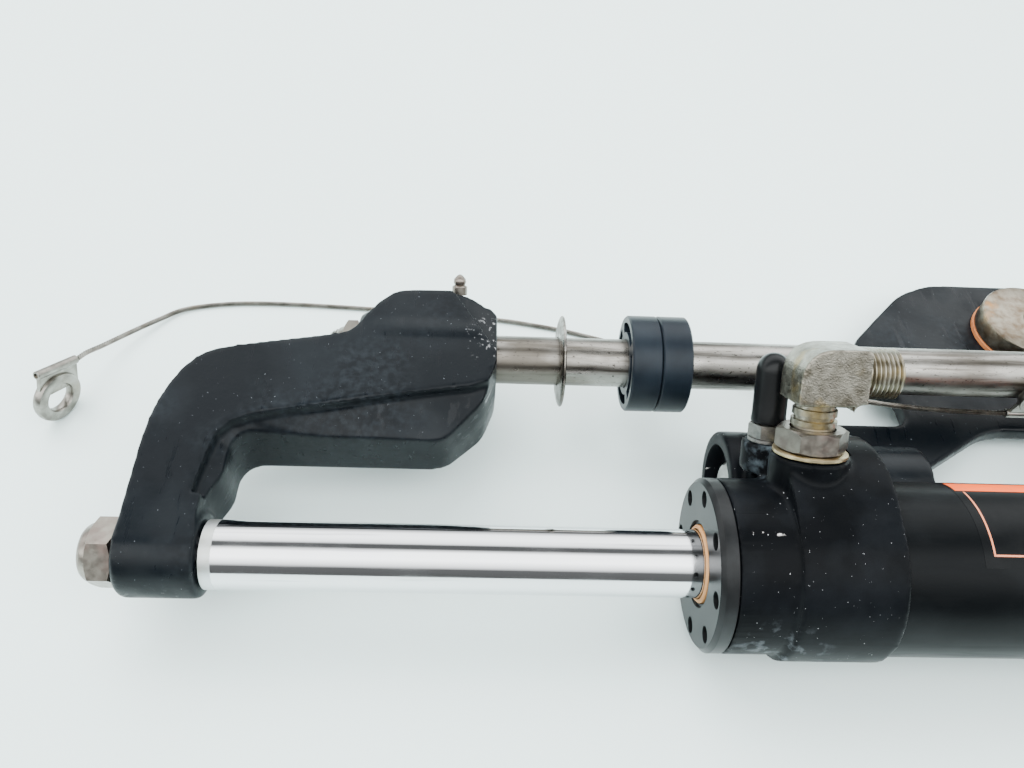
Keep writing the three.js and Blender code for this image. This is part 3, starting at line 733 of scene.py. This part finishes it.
def end_block(name):
    """End block: a band round the barrel, the gland's neck, the pivot lobe and pads for the fittings."""
    bx, nx = at_left(BLOCK_OUT_X), at_left(BLOCK_IN_X)
    lobe_x, seam = at_left(LOBE_X), at_left(GLAND_SEAM - GAP)
    band = prism_x(belt([(0, 0, BLOCK_R), CROWN, (*LOBE, LOBE_R - 0.1)]), bx, nx)
    neck = lathe([(seam, 0), (seam, NECK_R), (bx + 4, NECK_R), (bx + 4, 0)])
    lobe = lathe([(lobe_x, 0), (lobe_x, LOBE_R - 0.6), (lobe_x + 0.8, LOBE_R), (bx + 2, LOBE_R),
                  (bx + 2, 0)], (0, *LOBE))
    web = prism_x(belt([(14, -2, 15), (LOBE[0] - 4, LOBE[1], 13.5)]), lobe_x + 4, bx + 2)
    pad = lathe([(20, 0), (20, 10.6), (SEAT, 10.6), (SEAT, 0)], ELBOW_FOOT, 64, FITTING)
    bleeder_pad = lathe([(24, 0), (24, 6.9), (BLEEDER_SEAT, 6.9), (BLEEDER_SEAT, 0)],
                        BLEEDER_FOOT, 48, FITTING)
    below = [Vector(p) for p in ((-60, -60), (90, -60), (90, -27.5), (-60, -27.5))]
    under_table = prism_x(below, -120, -40)
    pin_hole = [(lobe_x - 1, 0), (lobe_x - 1, 14), (lobe_x + 1, 13.2), (lobe_x + 5, 13.2),
                (lobe_x + 5, PIN_R + GAP), (nx + 1, PIN_R + GAP), (nx + 1, 0)]
    bore = [(at_left(143), 0), (at_left(143), 20.3), (at_left(108), 20.3), (at_left(108), BARREL_R + 0.1),
            (nx + 2, BARREL_R + 0.1), (nx + 2, 0)]
    return cast(
        name,
        [band, neck, lobe, web, pad, bleeder_pad],
        [under_table],
        [step_tool(bx),
         lathe(pin_hole, (0, *LOBE)),
         lathe(bore),
         lathe([(SEAT, 0), (SEAT, 11.4), (60, 11.4), (60, 0)], ELBOW_FOOT, 64, FITTING),
         lathe([(25, 0), (25, 6.3), (60, 6.3), (60, 0)], ELBOW_FOOT, 48, FITTING),
         lathe([(BLEEDER_SEAT, 0), (BLEEDER_SEAT, 7.2), (60, 7.2), (60, 0)], BLEEDER_FOOT, 48, FITTING)],
        BLOCK, voxel=0.6, passes=4,
    )


def gland(name):
    """Flanged gland with eight spanner holes in its face."""
    face = at_left(CYLINDER_HALF)
    seam = at_left(GLAND_SEAM)
    profile = [(face, 12.2), (face, NECK_R - 1.35), (face + 0.15, NECK_R - 1.2), (face + 1.1, NECK_R - 0.2),
               (face + 1.3, NECK_R - 0.1), (seam - 0.2, NECK_R - 0.1), (seam, NECK_R - 0.3), (seam, 20),
               (seam + 15, 20), (seam + 15, 9.9), (face + 7.2, 9.9), (face + 7.2, 11.2), (face + 0.9, 11.2),
               (face + 0.9, 11.9), (face, 12.2)]
    body = from_bmesh(name, lathe(profile, steps=128), GLAND)
    holes = []
    for k in range(8):
        angle = math.radians(35 + 45 * k)
        centre = (0, -19.7 * math.cos(angle), 19.7 * math.sin(angle))
        drill = [(face - 1, 0), (face - 1, 2.6), (face + 0.25, 2.35), (face + 3.4, 2.35), (face + 4, 0)]
        holes.append(lathe(drill, centre, 32))
    body = cut(body, [together(holes)], name, GLAND)
    body.data.set_sharp_from_angle(angle=math.radians(25))
    return body


def elbow(name):
    """Forged elbow: polished stem, square-sided body with a rounded corner, threaded outlet."""
    reach, side = SEAT + 15.2, 7.5
    middle = reach + 8
    turn = Matrix.Rotation(FITTING_ANGLE - math.pi / 2, 4, "X")

    def stood(shape):
        for vertex in shape.verts:
            vertex.co = ROD_AXIS + Vector(ELBOW_FOOT) + turn @ vertex.co
        return shape

    low = middle - side + 0.4
    outline = rounded([(-side, reach, 0), (side, reach, 1.5), (side, low, 3), (11, low, 0),
                       (11, middle + side, 2), (-side, middle + side, 9.5)], 8)
    body = stood(skin([[Vector((p.x, y, p.y)) for p in outline] for y in (-side, side)]))
    forged = cast(name + "_body", [body], [], [], FORGED, voxel=0.3, passes=7)
    stem = [(25, 0), (25, 5.7), (SEAT + 8.6, 5.7), (SEAT + 8.8, 6.1), (SEAT + 10.3, 6.1),
            (SEAT + 10.5, 5.3), (SEAT + 11.4, 5.3), (SEAT + 11.6, 5.9), (SEAT + 13.4, 5.9),
            (SEAT + 13.6, 5.4), (reach + 1, 5.4), (reach + 1, 0)]
    stem_piece = from_bmesh("stem", lathe(stem, ELBOW_FOOT, 64, FITTING), THREAD)
    ridges = [(10, 4.4), (10, 6.1), (11.6, 6.1)]
    pitch = 1.25
    for k in range(7):
        start = 11.8 + k * pitch
        ridges += [(start, 6.15), (start + 0.5, 6.85), (start + 0.75, 6.85)]
    ridges += [(20.4, 6.2), (20.8, 5.7), (20.8, 4.4), (10, 4.4)]
    centre = (at_left(FITTING_X), FITTING.y * middle, FITTING.z * middle)
    outlet = from_bmesh("outlet", lathe(ridges, centre, 64), THREAD)
    return merged(name, [forged, stem_piece, outlet])


def fittings():
    """Elbows with their nuts and washers, bleeder screws and their rubber caps."""
    about = CYLINDER_SHIFT
    pair(elbow, "elbow", "cylinder", "zinc_steel", about)
    low, high = SEAT + GAP, SEAT + 1.5
    washer = [(low, 6.2), (low, 9.7), (low + 0.3, 10), (high - 0.2, 10), (high, 9.7), (high, 6.2),
              (low, 6.2)]
    ring = turned_piece(washer, GOLD, ELBOW_FOOT, 96, FITTING)
    pair(ring, "elbow_washer", "cylinder", "gold_zinc", about)
    pair(lambda name: chamfered_hexagon(name, SEAT + 1.8, SEAT + 7.9, 17, ELBOW_FOOT, FITTING, NUT, 6.2),
         "elbow_nut", "cylinder", "gold_zinc", about)
    foot = BLEEDER_SEAT + GAP

    def screw(name):
        profile = [(foot - 5, 0), (foot - 5, 3), (foot, 3), (foot, 5.3), (foot + 1, 5.3), (foot + 1, 2.6),
                   (foot + 15.5, 2.6), (foot + 15.5, 0)]
        shank = from_bmesh("shank", lathe(profile, BLEEDER_FOOT, 48, FITTING), DULL)
        head = chamfered_hexagon("head", foot + 0.9, foot + 5.2, 9.5, BLEEDER_FOOT, FITTING, DULL, 1)
        return merged(name, [shank, head])

    pair(screw, "bleeder_screw", "bleeder_{side}", "zinc_steel", about)
    base = foot + 5.5
    dome = [(base + 15 + 5.4 * math.sin(t), 0.2 + 4.6 * math.cos(t)) for t in
            [math.radians(9 * k) for k in range(11)]]
    cap = [(base, 2.9), (base, 4.6), (base + 0.3, 4.95), (base + 1.2, 4.98), (base + 2, 4.85)] + dome
    cap += [(base + 20.4, 0), (base + 14, 0), (base + 14, 2.85), (base, 2.9)]
    dust_cap = turned_piece(cap, RUBBER, BLEEDER_FOOT, 64, FITTING)
    pair(dust_cap, "bleeder_cap", "cap_{side}", "black_rubber", about)


def cylinder():
    """Barrel, end blocks, glands, wipers, pivot pins, fittings and label."""
    about = CYLINDER_SHIFT
    bore = 17.5
    left, right = about - BARREL_HALF, about + BARREL_HALF
    wall = [(left, bore), (left, BARREL_R), (right, BARREL_R), (right, bore), (left, bore)]
    show(from_bmesh("barrel_look", lathe(wall, steps=160), TUBE), "cylinder", "black_satin", "barrel")
    pair(end_block, "end_block", "cylinder", "black_paint", about)
    pair(gland, "gland", "cylinder", "black_satin", about)
    face = at_left(CYLINDER_HALF)
    lip = [(face - 0.28, 9.9), (face - 0.28, 10.5), (face + 0.2, 10.88), (face + 4.6, 10.88),
           (face + 4.6, 9.84), (face + 0.6, 9.84), (face - 0.28, 9.9)]
    pair(turned_piece(lip, AMBER), "wiper", "rod_wipers", "amber_urethane", about)
    x = at_left(LOBE_X) + 2.4
    pin = [(x, 0), (x, PIN_R - 1.1), (x + 1.1, PIN_R), (at_left(72), PIN_R), (at_left(72), 0)]
    pair(turned_piece(pin, PITTED, (0, *LOBE), 64), "pivot_pin", "cylinder", "zinc_steel", about)
    fittings()
    label()


def patch(name, x0, x1, start, end, radius, material):
    """A thin curved sheet on the barrel, from one angle to another, measured up from +Y."""
    steps, thick = 48, 0.06
    loops = []
    for i in range(steps + 1):
        angle = math.radians(start + (end - start) * i / steps)
        loop = []
        for x, r in ((x0, radius), (x1, radius), (x1, radius + thick), (x0, radius + thick)):
            loop.append(ROD_AXIS + Vector((x, r * math.cos(angle), r * math.sin(angle))))
        loops.append(loop)
    return from_bmesh(name, skin(loops), material)


def label():
    """A blank label: dark field, an orange strip along its top and a pale line round the rest."""
    x0, x1 = -42, 2 * CYLINDER_SHIFT + 42
    pieces = [
        patch("field", x0, x1, 42, 116.5, BARREL_R, LABEL),
        patch("strip", x0 + 0.8, x1 - 0.8, 43, 57.5, BARREL_R + 0.05, LABEL_STRIP),
        patch("line_low", x0 + 3, x1 - 3, 108.2, 109.4, BARREL_R + 0.05, LABEL_LINE),
        patch("line_left", x0 + 2.6, x0 + 3.1, 59, 109.4, BARREL_R + 0.05, LABEL_LINE),
        patch("line_right", x1 - 3.1, x1 - 2.6, 59, 109.4, BARREL_R + 0.05, LABEL_LINE),
    ]
    show(merged("blank_label", pieces), "cylinder", "black_satin")


# ------------------------------------------------------------------ plate and tiller pin
def plate(name):
    """Pivot plate with its two ears on the pins and a hole for the tiller bushing."""
    half = [(-27, PLATE_BACK, 6), (-41, 127, 5), (-66, 101, 4), (-66, 77, 2), (-57, 77, 6), (-57, 62, 6),
            (-PLATE_EDGE_X, 62, 8), (-PLATE_EDGE_X, LOBE[0], 1), (-65.7, LOBE[0], 1), (-65.7, 38, 2),
            (-31, 59.5, 5), (-24, 61, 3)]
    other = [(-x, y, r) for x, y, r in reversed(half)]
    points = [p + Vector((CYLINDER_SHIFT, 0)) for p in rounded(half + other)]
    shapes = [prism_z(points, PLATE_BOTTOM, PLATE_TOP)]
    for x0 in (CYLINDER_SHIFT - PLATE_EDGE_X, CYLINDER_SHIFT + 65.7):
        shapes.append(lathe([(x0, 0), (x0, 14.2), (x0 + 30.1, 14.2), (x0 + 30.1, 0)], (0, *LOBE)))
    x0, x1 = CYLINDER_SHIFT - 110, CYLINDER_SHIFT + 110
    return cast(
        name, shapes, [],
        [lathe([(x0, 0), (x0, BARREL_R + 1.4), (x1, BARREL_R + 1.4), (x1, 0)]),
         lathe([(x0, 0), (x0, PIN_R + GAP), (x1, PIN_R + GAP), (x1, 0)], (0, *LOBE)),
         lathe([(-25, 0), (-25, 11.3), (0, 11.3), (0, 0)], (CYLINDER_SHIFT, TILLER_Y, 0), 64, (0, 0, 1))],
        BLACK, voxel=0.7, passes=3,
    )


def tiller():
    """The plate with its bushing, and the tiller pin with its nut."""
    centre = (CYLINDER_SHIFT, TILLER_Y, 0)
    up = (0, 0, 1)
    top = PLATE_TOP + GAP
    show(plate("pivot_plate_look"), "plate", "black_paint", "pivot_plate")
    bush = [(PLATE_BOTTOM, 9.9), (PLATE_BOTTOM, 11), (top, 11), (top, 17.9), (top + 1.5, 17.9),
            (top + 1.5, 9.9), (PLATE_BOTTOM, 9.9)]
    show(from_bmesh("tiller_bushing_look", lathe(bush, centre, 96, up), BUSHING), "plate", "orange_bushing",
         "tiller_bushing")
    low = PLATE_TOP + 2.1
    high = low + 7.9
    head = [(high - 1.6, 0), (high - 0.4, 3), (high, 3.4), (high, 16.4), (high - 0.4, 17.2),
            (high - 1, 17.5), (low + 0.3, 17.5), (low, 17.2), (low, 9.5), (-27, 9.5), (-27, 0)]
    show(from_bmesh("tiller_pin_look", lathe(head, centre, 128, up), RUST), "tiller", "iron", "tiller_pin")
    nut = chamfered_hexagon("tiller_nut_look", -27.5, PLATE_BOTTOM - GAP, 27, centre, up, NUT, 9.8)
    show(nut, "tiller", "zinc_steel", "tiller_nut")


# ------------------------------------------------------------------ lanyard
# The rope's points: along the rod from the frame's middle, back from the rod axis, up from the table.
ROPE_ROUTE = [
    (5.7, 61.3, 21.9), (-4, 61.7, 21.5), (-13, 63.0, 20.2), (-24, 66.0, 17.6),
    (-36, 70.5, 14.2), (-50, 76.5, 10.8), (-66, 84.0, 7.8), (-84, 92.0, 4.0), (-102, 99.5, 1.6),
    (-120, 106, 1.0), (-140, 112, 1.0), (-154, 115, 1.0),
    (-167, 117, 1.0), (-196, 119.5, 1.0), (-225, 121.2, 1.0), (-252.9, 122, 1.0), (-272.1, 121.1, 1.0),
    (-287.8, 117.5, 1.2), (-296.1, 110.8, 2.2), (-304, 101.2, 4.7), (-309.4, 90.9, 8.9),
    (-311.5, 84.3, 12.7), (-312.2, 79.0, 15.4),
]


def smooth_line(points, each=26):
    """Points along a Catmull-Rom curve through the given ones."""
    line = []
    last = len(points) - 1
    for i in range(last):
        a, b, c, d = (points[max(0, min(last, i + k))] for k in (-1, 0, 1, 2))
        for step in range(each):
            t = step / each
            line.append(0.5 * (2 * b + (c - a) * t + (2 * a - 5 * b + 4 * c - d) * t ** 2
                               + (3 * b - a - 3 * c + d) * t ** 3))
    line.append(points[-1])
    return line


def rope():
    """Wire rope of seven strands, six of them laid round the middle one."""
    line = smooth_line([Vector((x, y + ROD_AXIS.y, z)) for x, y, z in ROPE_ROUTE])
    strand_r, lay_r, pitch = 0.32, 0.61, 7.0
    shape = bmesh.new()
    travelled = [0.0]
    for a, b in zip(line, line[1:]):
        travelled.append(travelled[-1] + (b - a).length)
    for strand in range(7):
        rings = []
        for i, point in enumerate(line):
            ahead = (line[min(i + 1, len(line) - 1)] - line[max(i - 1, 0)]).normalized()
            side = ahead.cross(Vector((0, 0, 1))).normalized()
            up = side.cross(ahead)
            turn = 2 * math.pi * (travelled[i] / pitch + strand / 6)
            centre = point
            if strand < 6:
                centre = point + (side * math.cos(turn) + up * math.sin(turn)) * lay_r
            ring = []
            for k in range(6):
                angle = 2 * math.pi * k / 6
                spoke = side * math.cos(angle) + up * math.sin(angle)
                ring.append(shape.verts.new(centre + spoke * strand_r))
            rings.append(ring)
        for first, second in zip(rings, rings[1:]):
            for k in range(6):
                shape.faces.new((first[k], first[(k + 1) % 6], second[(k + 1) % 6], second[k]))
        shape.faces.new(rings[0])
        shape.faces.new(list(reversed(rings[-1])))
    made = from_bmesh("wire_rope", shape, ROPE)
    show(made, "plate", "wire_rope", "lanyard_cable")
    return made, line, travelled[-1]


def terminal(name, turn, place):
    """Pressed eye: a grommet, its tab and the rolled sleeve that holds the rope."""
    stand = Matrix.Translation(Vector(place)) @ turn.to_4x4()
    eye = [(4.9, -1.1), (5.3, -1.7), (6.2, -1.9), (7.9, -1.9), (8.6, -1.5), (8.9, -0.6), (8.9, 0.6),
           (8.6, 1.5), (7.9, 1.9), (6.2, 1.9), (5.3, 1.7), (4.9, 1.1), (4.9, -1.1)]
    shapes = [lathe([(h, r) for r, h in eye], -ROD_AXIS, 64, (0, 0, 1))]
    tab = [Vector(p) for p in ((-7.6, 11.2), (-7.4, 4.5), (-5.5, 2), (6.5, 2.5), (8.4, 3), (7.8, 11.2))]
    shapes.append(skin([[Vector((p.x, p.y, z)) for p in tab] for z in (-0.65, 0.65)]))
    sleeve = [(-8.2, 0.9), (-8.2, 1.3), (-8, 1.5), (8, 1.5), (8.2, 1.3), (8.2, 0.9), (-8.2, 0.9)]
    shapes.append(lathe(sleeve, Vector((0, 11.2, 0)) - ROD_AXIS, 32, (1, 0, 0)))
    whole = together(shapes)
    hole = [v for v in whole.verts if math.hypot(v.co.x, v.co.y) < 4.0]
    bmesh.ops.delete(whole, geom=hole, context="VERTS")
    for vertex in whole.verts:
        vertex.co = stand @ vertex.co
    return from_bmesh(name, whole, ROPE)


def lanyard():
    """The wire rope and the two eyes at its ends."""
    cable, line, length = rope()
    heading, pitch, roll = 1.158, 0.437, 1.58
    left_turn = (Matrix.Rotation(heading, 3, "Z") @ Matrix.Rotation(pitch, 3, "Y")
                 @ Matrix.Rotation(roll, 3, "X"))
    right_turn = Matrix.Rotation(-1.45, 3, "X")
    left = terminal("eye_terminal_left", left_turn, (-317.4, 67.5 + ROD_AXIS.y, 9))
    right = terminal("eye_terminal_right", right_turn, (14.2, 60 + ROD_AXIS.y, 33))
    show(left, "plate", "wire_rope", "lanyard_terminal_left")
    show(right, "plate", "wire_rope", "lanyard_terminal_right")


# ------------------------------------------------------------------ room
# Brightness round the room, by the angle in degrees from the horizon in front, over the top, to the back.
SKY_BANDS = ((4, 0.05), (27, 0.06), (36, 0.7), (57, 1.6), (80, 1.5), (89, 0.4), (93, 0.05), (106, 0.05),
             (113, 0.9), (130, 1.3), (150, 1.2), (163, 0.4), (170, 0.02), (176, 0.1))
SKY_STRENGTH = 3.1
# Lamps: name, place in metres, size in metres and power in watts.
LAMPS = (("key_light", (-0.55, 0.5, 1.3), 1.2, 36), ("fill_light", (0.9, -0.3, 1.2), 1.2, 16))


def room():
    """The table, two soft lamps that chrome doesn't mirror, and the banded sky that it does."""
    data = bpy.data.meshes.new("floor")
    size = 3.0
    corners = [(-size, -size, 0), (size, -size, 0), (size, size, 0), (-size, size, 0)]
    data.from_pydata(corners, [], [(0, 1, 2, 3)])
    data.materials.append(FLOOR)
    floor = bpy.data.objects.new("floor", data)
    bpy.context.scene.collection.objects.link(floor)
    for name, place, size_m, power in LAMPS:
        light = bpy.data.lights.new(name, "AREA")
        light.size = size_m
        light.energy = power
        lamp = bpy.data.objects.new(name, light)
        bpy.context.scene.collection.objects.link(lamp)
        lamp.location = place
        lamp.visible_glossy = False
        lamp.rotation_mode = "QUATERNION"
        lamp.rotation_quaternion = (-Vector(place)).to_track_quat("-Z", "Y")
    world = bpy.data.worlds.new("studio")
    bpy.context.scene.world = world
    world.use_nodes = True
    tree = world.node_tree
    background = tree.nodes["Background"]
    coordinates = tree.nodes.new("ShaderNodeTexCoord")
    split = tree.nodes.new("ShaderNodeSeparateXYZ")
    forward = tree.nodes.new("ShaderNodeMath")
    forward.operation = "MULTIPLY"
    forward.inputs[1].default_value = -1
    rise = tree.nodes.new("ShaderNodeMath")
    rise.operation = "ARCTAN2"
    share = tree.nodes.new("ShaderNodeMapRange")
    share.inputs["From Max"].default_value = math.pi
    ramp = tree.nodes.new("ShaderNodeValToRGB")
    tree.links.new(coordinates.outputs["Generated"], split.inputs[0])
    tree.links.new(split.outputs["Y"], forward.inputs[0])
    tree.links.new(split.outputs["Z"], rise.inputs[0])
    tree.links.new(forward.outputs["Value"], rise.inputs[1])
    tree.links.new(rise.outputs["Value"], share.inputs["Value"])
    tree.links.new(share.outputs["Result"], ramp.inputs["Fac"])
    tree.links.new(ramp.outputs["Color"], background.inputs["Color"])
    stops = ramp.color_ramp.elements
    stops[0].position, stops[0].color = 0.0, (0.08, 0.08, 0.08, 1)
    stops[1].position, stops[1].color = 1.0, (0.5, 0.5, 0.51, 1)
    for degrees, level in SKY_BANDS:
        made = stops.new(degrees / 180)
        made.color = (level * 0.97, level, level, 1)
    background.inputs["Strength"].default_value = SKY_STRENGTH


make_camera()
lanyard()
room()
rods()
nuts_and_rings()
pair(bracket, "bracket", "rod_frame", "black_paint")
cylinder()
tiller()
